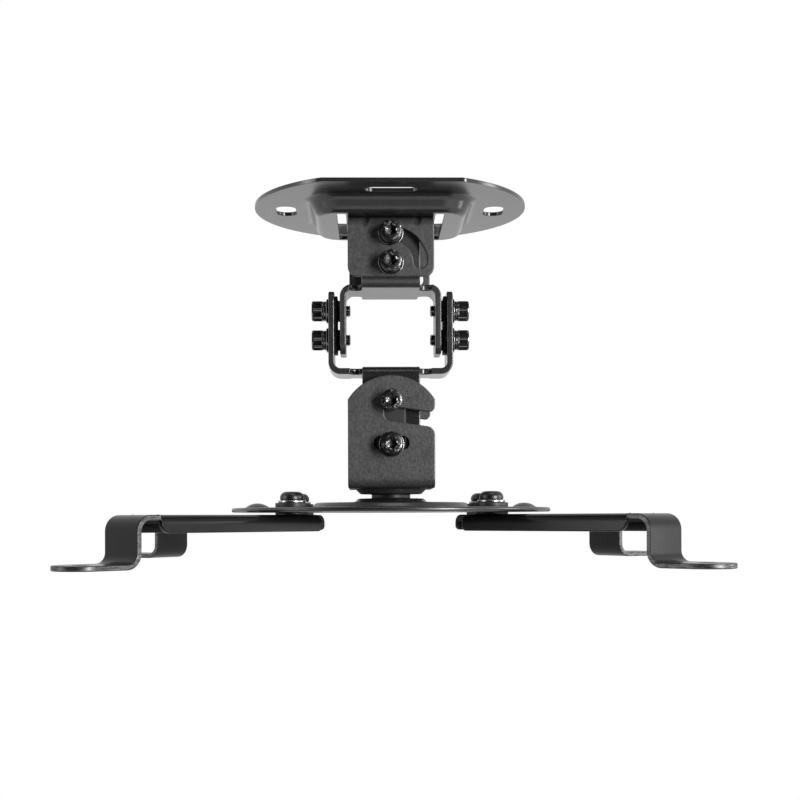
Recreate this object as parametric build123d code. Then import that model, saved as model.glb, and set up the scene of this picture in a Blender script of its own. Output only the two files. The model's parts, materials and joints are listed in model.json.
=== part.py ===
from build123d import *
import os
from math import cos, radians, sin, tan

# Projector ceiling mount. A pressed plate screws to the ceiling. Under it hang, in turn, a bracket
# that tilts sideways, a pair of yokes that pitch, a bracket that rolls and a disc that swivels.
# Four channel arms swing and slide under the disc, and their feet screw to a projector.
# The origin is the middle of the ceiling face. +Z is up, +X is right and -Y is the front.
# All lengths are in millimetres and all angles in degrees.

# Sheet and plays
sheet = 2.5
bend = 1.5
slip = 0.05
thread_play = 0.02
pivot_play = 0.1

# Cutters: how far one goes past a face, and the span that clears the whole mount
over = 1.0
through = 400.0

# Ceiling plate
plate_sheet = 1.6
plate_radius = 56.5
plate_flat = 49.5
side_slot_offset = 43.5
side_slot_length = 16.4
side_slot_width = 8.3
front_slot_offset = 37.0
front_slot_length = 21.0
front_slot_width = 7.0
dome_foot_x = 33.5
dome_foot_y = 30.5
dome_foot_corner = 13.0
dome_floor_x = 30.0
dome_floor_y = 28.0
dome_floor_corner = 10.0
dome_drop = 6.7
dome_floor_round = 3.5
dome_foot_round = 3.5
dome_mouth_round = 2.0
window_gap = 0.6
window_width = 3.6
window_half_length = 24.0
window_corner = 0.9

# Ceiling bracket
bracket_half_width = 17.5
cheek_outer = 22.0
cheek_drop = 24.5
cheek_corner = 4.0
tilt_below_floor = 19.1
tilt_lock_radius = 12.0
tilt_slot_start = 90.0
tilt_slot_sweep = 87.0
dent_offset = 10.5
dent_radius = 2.1
dent_depth = 1.0
dent_length = 7.0

# Screws, washers and spacer plates of the three locking joints
screw_radius = 2.5
screw_tip_out = 1.8
head_radius = 4.2
head_height = 5.0
head_chamfer = 0.4
hex_across = 4.0
hex_depth = 2.6
flat_washer_radius = 5.1
flat_washer_thick = 1.0
spring_washer_radius = 4.15
spring_washer_thick = 1.1
spring_washer_split = 0.6
washer_play = 0.15
spacer_thick = 1.4
spacer_chamfer = 0.7
tilt_spacer_pivot_end = 5.6
tilt_spacer_lock_end = 3.4
roll_spacer_end = 6.0
slot_play = 0.3
slot_middle = -90.0

# Upper yoke
yoke_bend = 2.5
yoke_half_width = 21.0
web_below_tilt = 6.4
upper_arm_length = 28.6
strap_half_width = 10.0
arm_end_corner = 4.5
tongue_half_width = 12.0
tongue_top_radius = 15.5
notch_radius = 2.5
pitch_below_web = 9.8
pitch_lock_radius = 12.2
pitch_limit = 20.0

# Spacer plates between the yokes' arms
yoke_gap = 2.3
pitch_spacer_plate = 1.2
pitch_spacer_half_width = 6.5
pitch_spacer_corner = 2.8
pitch_spacer_top = 5.7
pitch_spacer_bottom = 5.9
pitch_spacer_boss = 4.4

# Lower yoke
lower_arm_rise = 7.3
lower_web_drop = 27.4
lower_tongue_half_width = 11.8
lower_tongue_end = 4.6
lower_tongue_corner = 5.0

# Swivel bracket
swivel_bracket_half_width = 17.65
roll_below_web = 12.1
roll_lock_radius = 17.6
roll_limit = 14.0
swivel_base_drop = 35.2
cheek_arc_radius = 20.7
cheek_arc_below_roll = 10.3
hook_width = 5.8
hook_leg = 5.2
hook_slope = 8.5
nose_corner = 2.4
hook_mouth_corner = 3.6
emboss_radius = 15.0
emboss_end_radius = 12.8
emboss_drop = 2.2
emboss_wall = 1.2

# Swivel bolt, nut and washers
bolt_radius = 4.0
bolt_head_radius = 7.0
bolt_head_height = 3.5
bolt_tip_out = 1.5
bolt_hex_across = 5.0
bolt_hex_depth = 1.8
nut_across = 13.0
nut_height = 6.5
nut_washer_radius = 8.0
nut_washer_thick = 1.6
swivel_washer_radius = 8.15
swivel_washer_thick = 1.8

# Swivel disc
disc_radius = 66.5
disc_sheet = 1.8
boss_radius = 13.85
boss_rise = 1.7
plateau_radius = 31.5
plateau_rise = 2.2
press_run = 1.6
hump_inset = 10.5
hump_radius = 5.4
hump_rise = 2.1
hump_foot_round = 1.5

# Arms
arm_screw_inset = 26.3
arm_screw_y = 22.6
front_arm_angle = 44.5
rear_arm_angle = 33.0
front_arm_reach = 81.5
rear_arm_reach = 74.2
arm_half_width = 10.4
arm_sheet = 2.0
arm_bend = 4.0
arm_inner_end = 7.0
arm_flange = 6.7
arm_flange_gap = 4.5
arm_flange_cut = 3.8
arm_drop = 19.6
foot_length = 26.8
foot_hole_radius = 3.25
arm_slot_travel = 55.0
arm_slot_play = 0.2

# Arm screws, washers and nuts
pan_radius = 4.9
pan_height = 3.5
pan_round = 2.6
pan_cross_width = 1.4
pan_cross_length = 5.2
pan_cross_depth = 1.6
arm_washer_radius = 5.6
arm_washer_thick = 1.0
friction_washer_radius = 6.75
friction_washer_thick = 1.9
lower_washer_thick = 1.0
arm_nut_across = 8.0
arm_nut_height = 3.2
arm_nut_flange_radius = 5.6
arm_nut_flange_thick = 0.8
arm_screw_tip_out = 0.6

# Heights worked out from the ceiling face down
floor_z = -(plate_sheet + dome_drop)
tilt_z = floor_z - tilt_below_floor
tilt_lock_z = tilt_z + tilt_lock_radius
cheek_bottom_z = floor_z - cheek_drop
upper_web_z = tilt_z - web_below_tilt
upper_arm_z = upper_web_z - upper_arm_length
pitch_z = upper_web_z - pitch_below_web
pitch_lock_z = pitch_z - pitch_lock_radius
lower_arm_z = pitch_z + lower_arm_rise
lower_web_z = pitch_z - lower_web_drop
roll_z = lower_web_z - roll_below_web
roll_lock_z = roll_z - roll_lock_radius
swivel_base_z = roll_z - swivel_base_drop
cheek_arc_z = roll_z - cheek_arc_below_roll
emboss_z = swivel_base_z - emboss_drop
boss_z = emboss_z - swivel_washer_thick - slip
plateau_z = boss_z - boss_rise
disc_z = plateau_z - plateau_rise
disc_bottom_z = disc_z - disc_sheet
arm_z = disc_bottom_z - lower_washer_thick

# Depths worked out from the cheeks inward
cheek_inner = cheek_outer - sheet
tongue_outer = cheek_inner - slip - spacer_thick
tongue_inner = tongue_outer - sheet
lower_yoke_inner = yoke_half_width + yoke_gap
lower_yoke_outer = lower_yoke_inner + sheet

# Places worked out from the disc's rim inward
hump_offset = disc_radius - hump_inset
arm_screw_x = disc_radius - arm_screw_inset


def block(x0, x1, y0, y1, z0, z1):
    """Box between two corners."""
    size = (x1 - x0, y1 - y0, z1 - z0)
    return Pos((x0 + x1) / 2, (y0 + y1) / 2, (z0 + z1) / 2) * Box(*size)


def rod(radius, start, end):
    """Cylinder from one point to another."""
    axis = Vector(*end) - Vector(*start)
    return extrude(Plane(origin=start, z_dir=axis) * Circle(radius), axis.length)


def across(sketch):
    """Cutter right through along Y, from a sketch drawn in X and Z."""
    return extrude(Plane.XZ * sketch, through / 2, both=True)


def along(sketch):
    """Cutter right through along X, from a sketch drawn in Y and Z."""
    return extrude(Plane.YZ * sketch, through / 2, both=True)


def upright(sketch, z0, z1):
    """Prism between two heights, from a sketch drawn in X and Y."""
    return extrude(Pos(0, 0, z0) * sketch, z1 - z0)


def folded_u(half_outer, depth, thick, inside_bend):
    """Section of a folded U: its web's outer face lies on the X axis and its legs point down."""
    inner_half = half_outer - thick
    outside_bend = inside_bend + thick
    points = [(-half_outer, -depth), (-half_outer, 0), (half_outer, 0), (half_outer, -depth)]
    points += [(inner_half, -depth), (inner_half, -thick), (-inner_half, -thick), (-inner_half, -depth)]
    radii = [0, outside_bend, outside_bend, 0, 0, inside_bend, inside_bend, 0]
    return make_face(FilletPolyline(*points, radius=radii, close=True))


def group(pieces):
    """Several separate solids of one kind, kept together."""
    return Compound(children=[piece.solid() for piece in pieces])


def nearest_vertex(sketch, x, y):
    """Corner of a flat shape that lies nearest to a point."""
    return min(sketch.vertices(), key=lambda corner: (corner.X - x) ** 2 + (corner.Y - y) ** 2)


# Fasteners are drawn pointing along +Z: the seat under the head is at the origin, the shank goes down.
def cap_screw(grip):
    """Socket cap screw whose shank is as long as its grip."""
    head = Cylinder(head_radius, head_height, align=(Align.CENTER, Align.CENTER, Align.MIN))
    head = chamfer(head.edges().group_by(Axis.Z)[-1], head_chamfer)
    socket = RegularPolygon(hex_across / 2, 6, major_radius=False)
    head -= upright(socket, head_height - hex_depth, head_height + over)
    shank = Cylinder(screw_radius, grip, align=(Align.CENTER, Align.CENTER, Align.MAX))
    return head + shank


def ring(outer, inner, thick):
    """Flat washer standing on the origin."""
    return upright(Circle(outer) - Circle(inner), 0, thick)


def spring_washer():
    """Split lock washer pressed flat."""
    inner = screw_radius + washer_play
    whole = ring(spring_washer_radius, inner, spring_washer_thick)
    half_split = spring_washer_split / 2
    split = block(0, spring_washer_radius + over, -half_split, half_split, -over, spring_washer_thick + over)
    return whole - split


def spacer(length, low_end, high_end):
    """Plate round two screws, at the origin and a length above it, chamfered on its outer face."""
    ends = Circle(low_end).edges() + (Pos(0, length) * Circle(high_end)).edges()
    hole = Circle(screw_radius + washer_play)
    plate = upright(make_hull(ends) - hole - Pos(0, length) * hole, 0, spacer_thick)
    rim = plate.faces().sort_by(Axis.Z)[-1].outer_wire()
    return chamfer(rim.edges(), spacer_chamfer)


# Where each locking joint's screws sit: a plane on the outside face, with the screw pointing in.
def seats_on_cheeks(heights):
    """Planes on the front and rear cheeks' outer faces."""
    places = []
    for side in (-1, 1):
        for z in heights:
            face = (0, side * (cheek_outer + slip), z)
            places.append(Plane(origin=face, x_dir=(1, 0, 0), z_dir=(0, side, 0)))
    return places


def seats_on_yoke(heights):
    """Planes on the lower yoke's two outer faces."""
    places = []
    for side in (-1, 1):
        for z in heights:
            face = (side * (lower_yoke_outer + slip), 0, z)
            places.append(Plane(origin=face, x_dir=(0, 1, 0), z_dir=(side, 0, 0)))
    return places


# Ceiling plate
def dome(shrink, top_z, bottom_z, floor_round):
    """Tapered block of the dome, shrunk inward by the sheet for its hollow."""
    levels = []
    for z, half_x, half_y, corner in ((top_z, dome_foot_x, dome_foot_y, dome_foot_corner),
                                      (bottom_z, dome_floor_x, dome_floor_y, dome_floor_corner)):
        level = RectangleRounded(2 * (half_x - shrink), 2 * (half_y - shrink), corner - shrink)
        levels.append(Pos(0, 0, z) * level)
    whole = loft(levels, ruled=True)
    return fillet(whole.faces().sort_by(Axis.Z)[0].edges(), floor_round)


def is_dome_foot(edge):
    """True for the edges where the dome leaves the flange's underside."""
    middle = edge.center()
    level = abs(middle.Z + plate_sheet) < slip
    return level and abs(middle.X) < dome_foot_x + slip and abs(middle.Y) < dome_foot_y + slip


def is_dome_mouth(edge):
    """True for the edges of the dome's hollow in the ceiling face."""
    middle = edge.center()
    return abs(middle.Z) < slip and abs(middle.X) < dome_foot_x and abs(middle.Y) < dome_foot_y


outline = Circle(plate_radius) & Rectangle(2 * plate_radius, 2 * plate_flat)
for side in (-1, 1):
    side_slot = SlotOverall(side_slot_length, side_slot_width, rotation=90)
    outline -= Pos(side * side_slot_offset, 0) * side_slot
    outline -= Pos(0, side * front_slot_offset) * SlotOverall(front_slot_length, front_slot_width)
ceiling_plate = upright(outline, -plate_sheet, 0)
ceiling_plate += dome(0, -plate_sheet, floor_z, dome_floor_round)
ceiling_plate = fillet(ceiling_plate.edges().filter_by(is_dome_foot), dome_foot_round)
ceiling_plate -= dome(plate_sheet, 0, floor_z + plate_sheet, dome_floor_round / 2)
ceiling_plate = fillet(ceiling_plate.edges().filter_by(is_dome_mouth), dome_mouth_round)
window_x = bracket_half_width + window_gap + window_width / 2
for side in (-1, 1):
    window = RectangleRounded(window_width, 2 * window_half_length, window_corner)
    window = Pos(side * window_x, 0) * window
    ceiling_plate -= upright(window, floor_z - over, floor_z + 2 * plate_sheet)

# Ceiling bracket: a folded U under the dome's floor, with two dents pressed across each bend
bracket_section = Pos(0, floor_z) * folded_u(cheek_outer, cheek_drop, sheet, bend)
ceiling_bracket = extrude(Plane.YZ * bracket_section, bracket_half_width, both=True)
cheek_points = [(-bracket_half_width, cheek_bottom_z), (bracket_half_width, cheek_bottom_z)]
cheek_points += [(bracket_half_width, floor_z), (-bracket_half_width, floor_z)]
cheek_radii = [cheek_corner, cheek_corner, 0, 0]
cheek_outline = make_face(FilletPolyline(*cheek_points, radius=cheek_radii, close=True))
ceiling_bracket &= across(cheek_outline)
tilt_sweep = CenterArc((0, tilt_z), tilt_lock_radius, tilt_slot_start, -tilt_slot_sweep)
ceiling_bracket -= across(SlotArc(tilt_sweep, 2 * (screw_radius + slot_play)))
ceiling_bracket -= across(Pos(0, tilt_z) * Circle(screw_radius + pivot_play))
fold_angle = radians(45)
fold_reach = (bend + sheet) * cos(fold_angle) + (dent_radius - dent_depth) * sin(fold_angle)
half_dent = dent_length / 2 * cos(fold_angle)
dent_z = floor_z - bend - sheet + fold_reach
for side in (-1, 1):
    dent_y = side * (cheek_outer - bend - sheet + fold_reach)
    for x in (-dent_offset, dent_offset):
        ceiling_bracket -= rod(dent_radius, (x, dent_y + side * half_dent, dent_z - half_dent),
                               (x, dent_y - side * half_dent, dent_z + half_dent))

# Upper yoke: the n-shaped channel, then the two tongues folded up from its web
upper_section = Pos(0, upper_web_z) * folded_u(yoke_half_width, upper_arm_length, sheet, yoke_bend)
upper_yoke = extrude(Plane.XZ * upper_section, strap_half_width, both=True)


def rounded_arm(z_end, z_far):
    """Side view of a yoke's arms, with both corners of the end rounded."""
    points = [(-strap_half_width, z_end), (strap_half_width, z_end)]
    points += [(strap_half_width, z_far), (-strap_half_width, z_far)]
    radii = [arm_end_corner, arm_end_corner, 0, 0]
    return make_face(FilletPolyline(*points, radius=radii, close=True))


def notches(half_tongue, z0, z1):
    """Round reliefs in the strap's edges, in the corners beside the tongues."""
    offset = half_tongue + notch_radius - slip
    reliefs = [Pos(x, y) * Circle(notch_radius) for x in (-offset, offset)
               for y in (-strap_half_width, strap_half_width)]
    return upright(Sketch() + reliefs, z0, z1)


upper_yoke &= along(rounded_arm(upper_arm_z, upper_web_z))
upper_yoke -= notches(tongue_half_width, upper_web_z - sheet - over, upper_web_z + over)
tongue_height = tongue_top_radius + web_below_tilt + sheet
tongue_section = Rot(0, 0, 180) * folded_u(tongue_outer, tongue_height, sheet, bend)
tongue_section = Pos(0, upper_web_z - sheet) * tongue_section
tongues = extrude(Plane.YZ * tongue_section, tongue_half_width, both=True)
tongue_shape = Pos(0, tilt_z) * Circle(tongue_top_radius)
tongue_shape += Pos(0, tilt_z - tongue_height / 2) * Rectangle(2 * tongue_half_width, tongue_height)
upper_yoke += tongues & across(tongue_shape)
for z in (tilt_z, tilt_lock_z):
    upper_yoke -= across(Pos(0, z) * Circle(screw_radius + thread_play))
for z in (pitch_z, pitch_lock_z):
    upper_yoke -= along(Pos(0, z) * Circle(screw_radius + thread_play))

# Lower yoke: the U-shaped channel and the tongues folded down from its web
lower_height = lower_arm_z - lower_web_z
lower_section = Rot(0, 0, 180) * folded_u(lower_yoke_outer, lower_height, sheet, yoke_bend)
lower_section = Pos(0, lower_web_z) * lower_section
lower_yoke = extrude(Plane.XZ * lower_section, strap_half_width, both=True)
lower_yoke &= along(rounded_arm(lower_arm_z, lower_web_z))
lower_yoke -= notches(lower_tongue_half_width, lower_web_z - over, lower_web_z + sheet + over)
lower_tongue_drop = roll_below_web + sheet + roll_lock_radius + lower_tongue_end
lower_tongue_section = Pos(0, lower_web_z + sheet) * folded_u(tongue_outer, lower_tongue_drop, sheet, bend)
lower_tongues = extrude(Plane.YZ * lower_tongue_section, lower_tongue_half_width, both=True)
tongue_end_z = lower_web_z + sheet - lower_tongue_drop
tongue_points = [(-lower_tongue_half_width, tongue_end_z), (lower_tongue_half_width, tongue_end_z)]
tongue_points += [(lower_tongue_half_width, lower_web_z + sheet)]
tongue_points += [(-lower_tongue_half_width, lower_web_z + sheet)]
tongue_radii = [lower_tongue_corner, lower_tongue_corner, 0, 0]
lower_tongues &= across(make_face(FilletPolyline(*tongue_points, radius=tongue_radii, close=True)))
lower_yoke += lower_tongues
pitch_sweep = CenterArc((0, pitch_z), pitch_lock_radius, slot_middle - pitch_limit, 2 * pitch_limit)
lower_yoke -= along(SlotArc(pitch_sweep, 2 * (screw_radius + slot_play)))
lower_yoke -= along(Pos(0, pitch_z) * Circle(screw_radius + pivot_play))
for z in (roll_z, roll_lock_z):
    lower_yoke -= across(Pos(0, z) * Circle(screw_radius + thread_play))

# Swivel bracket: a folded U whose cheeks hook over a screw and lock in an arc slot
swivel_height = cheek_arc_z + cheek_arc_radius - swivel_base_z
swivel_section = Pos(0, swivel_base_z) * Rot(0, 0, 180) * folded_u(cheek_outer, swivel_height, sheet, bend)
swivel_bracket = extrude(Plane.YZ * swivel_section, swivel_bracket_half_width, both=True)
cheek_shape = Pos(0, cheek_arc_z) * Circle(cheek_arc_radius)
cheek_straight = cheek_arc_z - swivel_base_z
cheek_shape += Pos(0, swivel_base_z + cheek_straight / 2) * Rectangle(4 * cheek_arc_radius, cheek_straight)
cheek_shape &= Pos(0, swivel_base_z) * Rectangle(2 * swivel_bracket_half_width, through)
hook_mouth_x = swivel_bracket_half_width + hook_width
hook_corner = (0, roll_z - hook_leg)
hook_mouth = (hook_mouth_x, roll_z - hook_leg - hook_mouth_x * tan(radians(hook_slope)))
hook = SlotArc(Line((0, roll_z), hook_corner), hook_width)
hook += SlotArc(Line(hook_corner, hook_mouth), hook_width)
cheek_shape -= hook
mouth_z = roll_z - hook_leg - swivel_bracket_half_width * tan(radians(hook_slope))
half_mouth = hook_width / 2 / cos(radians(hook_slope))
for z, corner in ((mouth_z - half_mouth, hook_mouth_corner), (mouth_z + half_mouth, nose_corner)):
    cheek_shape = fillet(nearest_vertex(cheek_shape, swivel_bracket_half_width, z), corner)
swivel_bracket &= across(cheek_shape)
roll_sweep = CenterArc((0, roll_z), roll_lock_radius, slot_middle - roll_limit, 2 * roll_limit)
swivel_bracket -= across(SlotArc(roll_sweep, 2 * (screw_radius + slot_play)))
emboss = Pos(0, 0, emboss_z) * Cone(emboss_end_radius, emboss_radius, emboss_drop,
                                    align=(Align.CENTER, Align.CENTER, Align.MIN))
hollow = Pos(0, 0, emboss_z + sheet) * Cone(emboss_end_radius - emboss_wall, emboss_radius - emboss_wall,
                                            emboss_drop, align=(Align.CENTER, Align.CENTER, Align.MIN))
swivel_bracket += emboss
swivel_bracket -= hollow
swivel_bracket -= rod(bolt_radius + pivot_play, (0, 0, emboss_z - over), (0, 0, swivel_base_z + 2 * sheet))

# Swivel bolt from under the disc, its nut and the two washers
nut_seat_z = emboss_z + sheet
nut_z = nut_seat_z + nut_washer_thick
bolt_head_z = boss_z - disc_sheet - slip
bolt_tip_z = nut_z + nut_height + bolt_tip_out
swivel_bolt = rod(bolt_head_radius, (0, 0, bolt_head_z - bolt_head_height), (0, 0, bolt_head_z))
swivel_bolt = chamfer(swivel_bolt.edges().group_by(Axis.Z)[0], head_chamfer)
swivel_bolt += rod(bolt_radius, (0, 0, bolt_head_z), (0, 0, bolt_tip_z))
bolt_socket = RegularPolygon(bolt_hex_across / 2, 6, major_radius=False)
socket_z = bolt_head_z - bolt_head_height
swivel_bolt -= upright(bolt_socket, socket_z - over, socket_z + bolt_hex_depth)
bolt_hole = bolt_radius + thread_play
swivel_nut = upright(RegularPolygon(nut_across / 2, 6, major_radius=False) - Circle(bolt_hole), nut_z,
                     nut_z + nut_height)
washer_bore = bolt_radius + washer_play
swivel_nut_washer = Pos(0, 0, nut_seat_z) * ring(nut_washer_radius, washer_bore, nut_washer_thick)
swivel_washer = ring(swivel_washer_radius, washer_bore, swivel_washer_thick)
swivel_washer = Pos(0, 0, emboss_z - swivel_washer_thick) * swivel_washer


# Swivel disc: one pressed sheet, stepped up twice towards its middle
def disc_half(top_boss, top_plateau, top_rim, inset):
    """Half section above one face of the disc, out to the rim."""
    boss_edge = boss_radius - inset
    plateau_edge = plateau_radius - inset
    return [(boss_edge, top_boss), (boss_edge + press_run, top_plateau), (plateau_edge, top_plateau),
            (plateau_edge + press_run, top_rim), (disc_radius, top_rim)]


def is_hump_foot(edge):
    """True for the ring where a hump leaves the disc's upper face."""
    if edge.geom_type != GeomType.CIRCLE:
        return False
    on_hump = abs(abs(edge.arc_center.X) - hump_offset) < slip
    return on_hump and abs(edge.radius - hump_radius) < slip


press_inset = disc_sheet / 3
upper_side = disc_half(boss_z, plateau_z, disc_z, 0)
lower_side = disc_half(boss_z - disc_sheet, plateau_z - disc_sheet, disc_bottom_z, press_inset)
disc_points = [(0, boss_z)] + upper_side + lower_side[::-1] + [(0, boss_z - disc_sheet)]
swivel_disc = revolve(Plane.XZ * make_face(Polyline(*disc_points, close=True)), Axis.Z)
hump_curve = (hump_radius ** 2 + hump_rise ** 2) / (2 * hump_rise)
humps = [Pos(side * hump_offset, 0, disc_z + hump_rise - hump_curve) for side in (-1, 1)]
hump_room = upright(Circle(disc_radius), disc_bottom_z, disc_z + 2 * hump_rise)
for hump in humps:
    swivel_disc += hump * Sphere(hump_curve) & hump_room
swivel_disc = fillet(swivel_disc.edges().filter_by(is_hump_foot), hump_foot_round)
for hump in humps:
    swivel_disc -= hump * Sphere(hump_curve - disc_sheet)
swivel_disc -= rod(bolt_radius + pivot_play, (0, 0, disc_bottom_z), (0, 0, boss_z + over))
for x in (-arm_screw_x, arm_screw_x):
    for y in (-arm_screw_y, arm_screw_y):
        swivel_disc -= rod(screw_radius + pivot_play, (x, y, disc_bottom_z - over), (x, y, disc_z + over))


# Arms are drawn with their screw on the Z axis, pointing along +X, with the web's top at height 0
def arm(reach):
    """Channel with a stepped foot, its slot for the screw and its foot's hole."""
    outside = arm_bend + arm_sheet
    flange_end = reach - outside - arm_flange_gap
    tip = reach + foot_length
    step = [(flange_end, 0), (reach, 0), (reach, arm_sheet - arm_drop), (tip, arm_sheet - arm_drop)]
    step += [(tip, -arm_drop), (reach - arm_sheet, -arm_drop), (reach - arm_sheet, -arm_sheet)]
    step += [(flange_end, -arm_sheet)]
    radii = [0, outside, arm_bend, 0, 0, outside, arm_bend, 0]
    strip = extrude(Plane.XZ * make_face(FilletPolyline(*step, radius=radii, close=True)),
                    arm_half_width, both=True)
    length = flange_end + arm_inner_end
    section = Plane.YZ.offset(-arm_inner_end) * folded_u(arm_half_width, arm_flange, arm_sheet, bend)
    channel = extrude(section, length)
    side_points = [(-arm_inner_end, 0), (flange_end, 0), (flange_end, -arm_flange)]
    side_points += [(-arm_inner_end, -arm_flange)]
    side_radii = [0, 0, arm_flange_cut, arm_flange_cut / 2]
    channel &= across(make_face(FilletPolyline(*side_points, radius=side_radii, close=True)))
    plan_points = [(-arm_inner_end, -arm_half_width), (tip, -arm_half_width)]
    plan_points += [(tip, arm_half_width), (-arm_inner_end, arm_half_width)]
    tip_round = arm_half_width - slip
    plan = make_face(FilletPolyline(*plan_points, radius=[0, tip_round, tip_round, 0], close=True))
    whole = (channel + strip) & upright(plan, -through / 2, through / 2)
    slot = SlotArc(Line((0, 0), (arm_slot_travel, 0)), 2 * (screw_radius + arm_slot_play))
    whole -= upright(slot, -2 * arm_sheet, arm_sheet)
    whole -= rod(foot_hole_radius, (tip - arm_half_width, 0, -arm_drop - over), (tip - arm_half_width, 0, 0))
    return whole


pan_seat = lower_washer_thick + disc_sheet + friction_washer_thick + arm_washer_thick + 2 * slip
nut_top = -arm_sheet - slip
nut_bottom = nut_top - arm_nut_flange_thick - arm_nut_height


def pan_screw():
    """Cross-recessed pan-head screw from above the disc down through the arm's web."""
    head = rod(pan_radius, (0, 0, pan_seat), (0, 0, pan_seat + pan_height))
    head = fillet(head.edges().group_by(Axis.Z)[-1], pan_round)
    shank = rod(screw_radius, (0, 0, nut_bottom - arm_screw_tip_out), (0, 0, pan_seat))
    cross = Rectangle(pan_cross_length, pan_cross_width) + Rectangle(pan_cross_width, pan_cross_length)
    top = pan_seat + pan_height
    return head + shank - upright(cross, top - pan_cross_depth, top + over)


def arm_nut():
    """Flanged hex nut inside the channel."""
    hole = Circle(screw_radius + thread_play)
    flange = upright(Circle(arm_nut_flange_radius) - hole, nut_top - arm_nut_flange_thick, nut_top)
    hexagon = RegularPolygon(arm_nut_across / 2, 6, major_radius=False) - hole
    return flange + upright(hexagon, nut_bottom, nut_top - arm_nut_flange_thick)


washer_hole = screw_radius + washer_play
disc_top = lower_washer_thick + disc_sheet + slip
arm_washer = ring(arm_washer_radius, washer_hole, arm_washer_thick)
friction_washer = ring(friction_washer_radius, washer_hole, friction_washer_thick)
lower_washer = ring(friction_washer_radius, washer_hole, lower_washer_thick - 2 * slip)
arm_pieces = {
    "screw": pan_screw(),
    "washer": Pos(0, 0, disc_top + friction_washer_thick) * arm_washer,
    "friction_washer": Pos(0, 0, disc_top) * friction_washer,
    "lower_washer": Pos(0, 0, slip) * lower_washer,
    "nut": arm_nut(),
}

# Every piece by the name of its node
pieces = {
    "ceiling_plate": ceiling_plate,
    "ceiling_bracket": ceiling_bracket,
    "upper_yoke": upper_yoke,
    "lower_yoke": lower_yoke,
    "swivel_bracket": swivel_bracket,
    "swivel_bolt": swivel_bolt,
    "swivel_nut": swivel_nut,
    "swivel_nut_washer": swivel_nut_washer,
    "swivel_washer": swivel_washer,
    "swivel_disc": swivel_disc,
}

# The three locking joints: a screw on each seat, over a spring washer and mostly a flat washer too
stack = flat_washer_thick + spring_washer_thick
cheek_grip = slip + cheek_outer - tongue_inner + screw_tip_out
yoke_grip = slip + lower_yoke_outer - yoke_half_width + sheet + screw_tip_out
flat_washer = ring(flat_washer_radius, screw_radius + washer_play, flat_washer_thick)
joints = {
    "tilt": (seats_on_cheeks((tilt_z, tilt_lock_z)), [], cheek_grip),
    "pitch": (seats_on_yoke((pitch_z, pitch_lock_z)), [], yoke_grip),
    "roll": (seats_on_cheeks((roll_lock_z,)), seats_on_cheeks((roll_z,)), cheek_grip),
}
for name, (seats, bare_seats, grip) in joints.items():
    screws = [seat.offset(stack) * cap_screw(stack + grip) for seat in seats]
    bare_screw = cap_screw(spring_washer_thick + grip)
    screws += [seat.offset(spring_washer_thick) * bare_screw for seat in bare_seats]
    spring_seats = [seat.offset(flat_washer_thick) for seat in seats] + bare_seats
    pieces[name + "_screws"] = group(screws)
    pieces[name + "_spring_washers"] = group([seat * spring_washer() for seat in spring_seats])
    pieces[name + "_flat_washers"] = group([seat * flat_washer for seat in seats])

# Spacer plates between the cheeks and the tongues
tilt_spacer = spacer(tilt_lock_radius, tilt_spacer_pivot_end, tilt_spacer_lock_end)
roll_spacer = spacer(roll_lock_radius, roll_spacer_end, roll_spacer_end)
for name, low_z, plate in (("tilt", tilt_z, tilt_spacer), ("roll", roll_lock_z, roll_spacer)):
    plates = []
    for side in (-1, 1):
        face = Plane(origin=(0, side * tongue_outer, low_z), x_dir=(-side, 0, 0), z_dir=(0, side, 0))
        plates.append(face * plate)
    pieces[name + "_spacers"] = group(plates)

# Spacer plates between the yokes' arms, each with a boss round either screw
pitch_plates = []
for side in (-1, 1):
    face = Plane(origin=(side * yoke_half_width, 0, pitch_lock_z), x_dir=(0, side, 0), z_dir=(side, 0, 0))
    plate_height = pitch_lock_radius + pitch_spacer_top + pitch_spacer_bottom
    plate_middle = (pitch_lock_radius + pitch_spacer_top - pitch_spacer_bottom) / 2
    plate = RectangleRounded(2 * pitch_spacer_half_width, plate_height, pitch_spacer_corner)
    plate = Pos(0, plate_middle) * plate
    bosses = Circle(pitch_spacer_boss) + Pos(0, pitch_lock_radius) * Circle(pitch_spacer_boss)
    holes = Circle(screw_radius + washer_play)
    holes += Pos(0, pitch_lock_radius) * Circle(screw_radius + washer_play)
    boss_height = yoke_gap - pitch_spacer_plate - slip
    whole = extrude(face * (bosses - holes), boss_height)
    whole += extrude(face.offset(boss_height) * (plate - holes), pitch_spacer_plate)
    pitch_plates.append(whole)
pieces["pitch_spacers"] = group(pitch_plates)

# The four arms, each turned about its own screw
for row, y_sign, angle, reach in (("front", -1, front_arm_angle, front_arm_reach),
                                  ("rear", 1, rear_arm_angle, rear_arm_reach)):
    for hand, x_sign in (("left", -1), ("right", 1)):
        name = row + "_" + hand
        turn = y_sign * angle if x_sign > 0 else 180 - y_sign * angle
        place = Pos(x_sign * arm_screw_x, y_sign * arm_screw_y, arm_z) * Rot(0, 0, turn)
        pieces[name + "_arm"] = place * arm(reach)
        for kind, piece in arm_pieces.items():
            pieces[name + "_" + kind] = place * piece

os.makedirs("parts", exist_ok=True)
for name, piece in pieces.items():
    export_step(piece, os.path.join("parts", name + ".step"))
print(len(pieces), "pieces, foot plane at", round(arm_z - arm_drop, 2))
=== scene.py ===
# %% [markdown]
# # A projector ceiling mount, dressed for its portrait
#
# The solids come from a CAD frame that is already at its real size and in its real place. This
# lesson adds what the solids leave out: eased edges, paint, the knurls, sockets and threads of the
# screws, the light and the camera. The frame could be modelled again here, but then it would have
# to be fitted, so it is loaded and left alone.

# %% Load the frame
import json
import math

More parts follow.
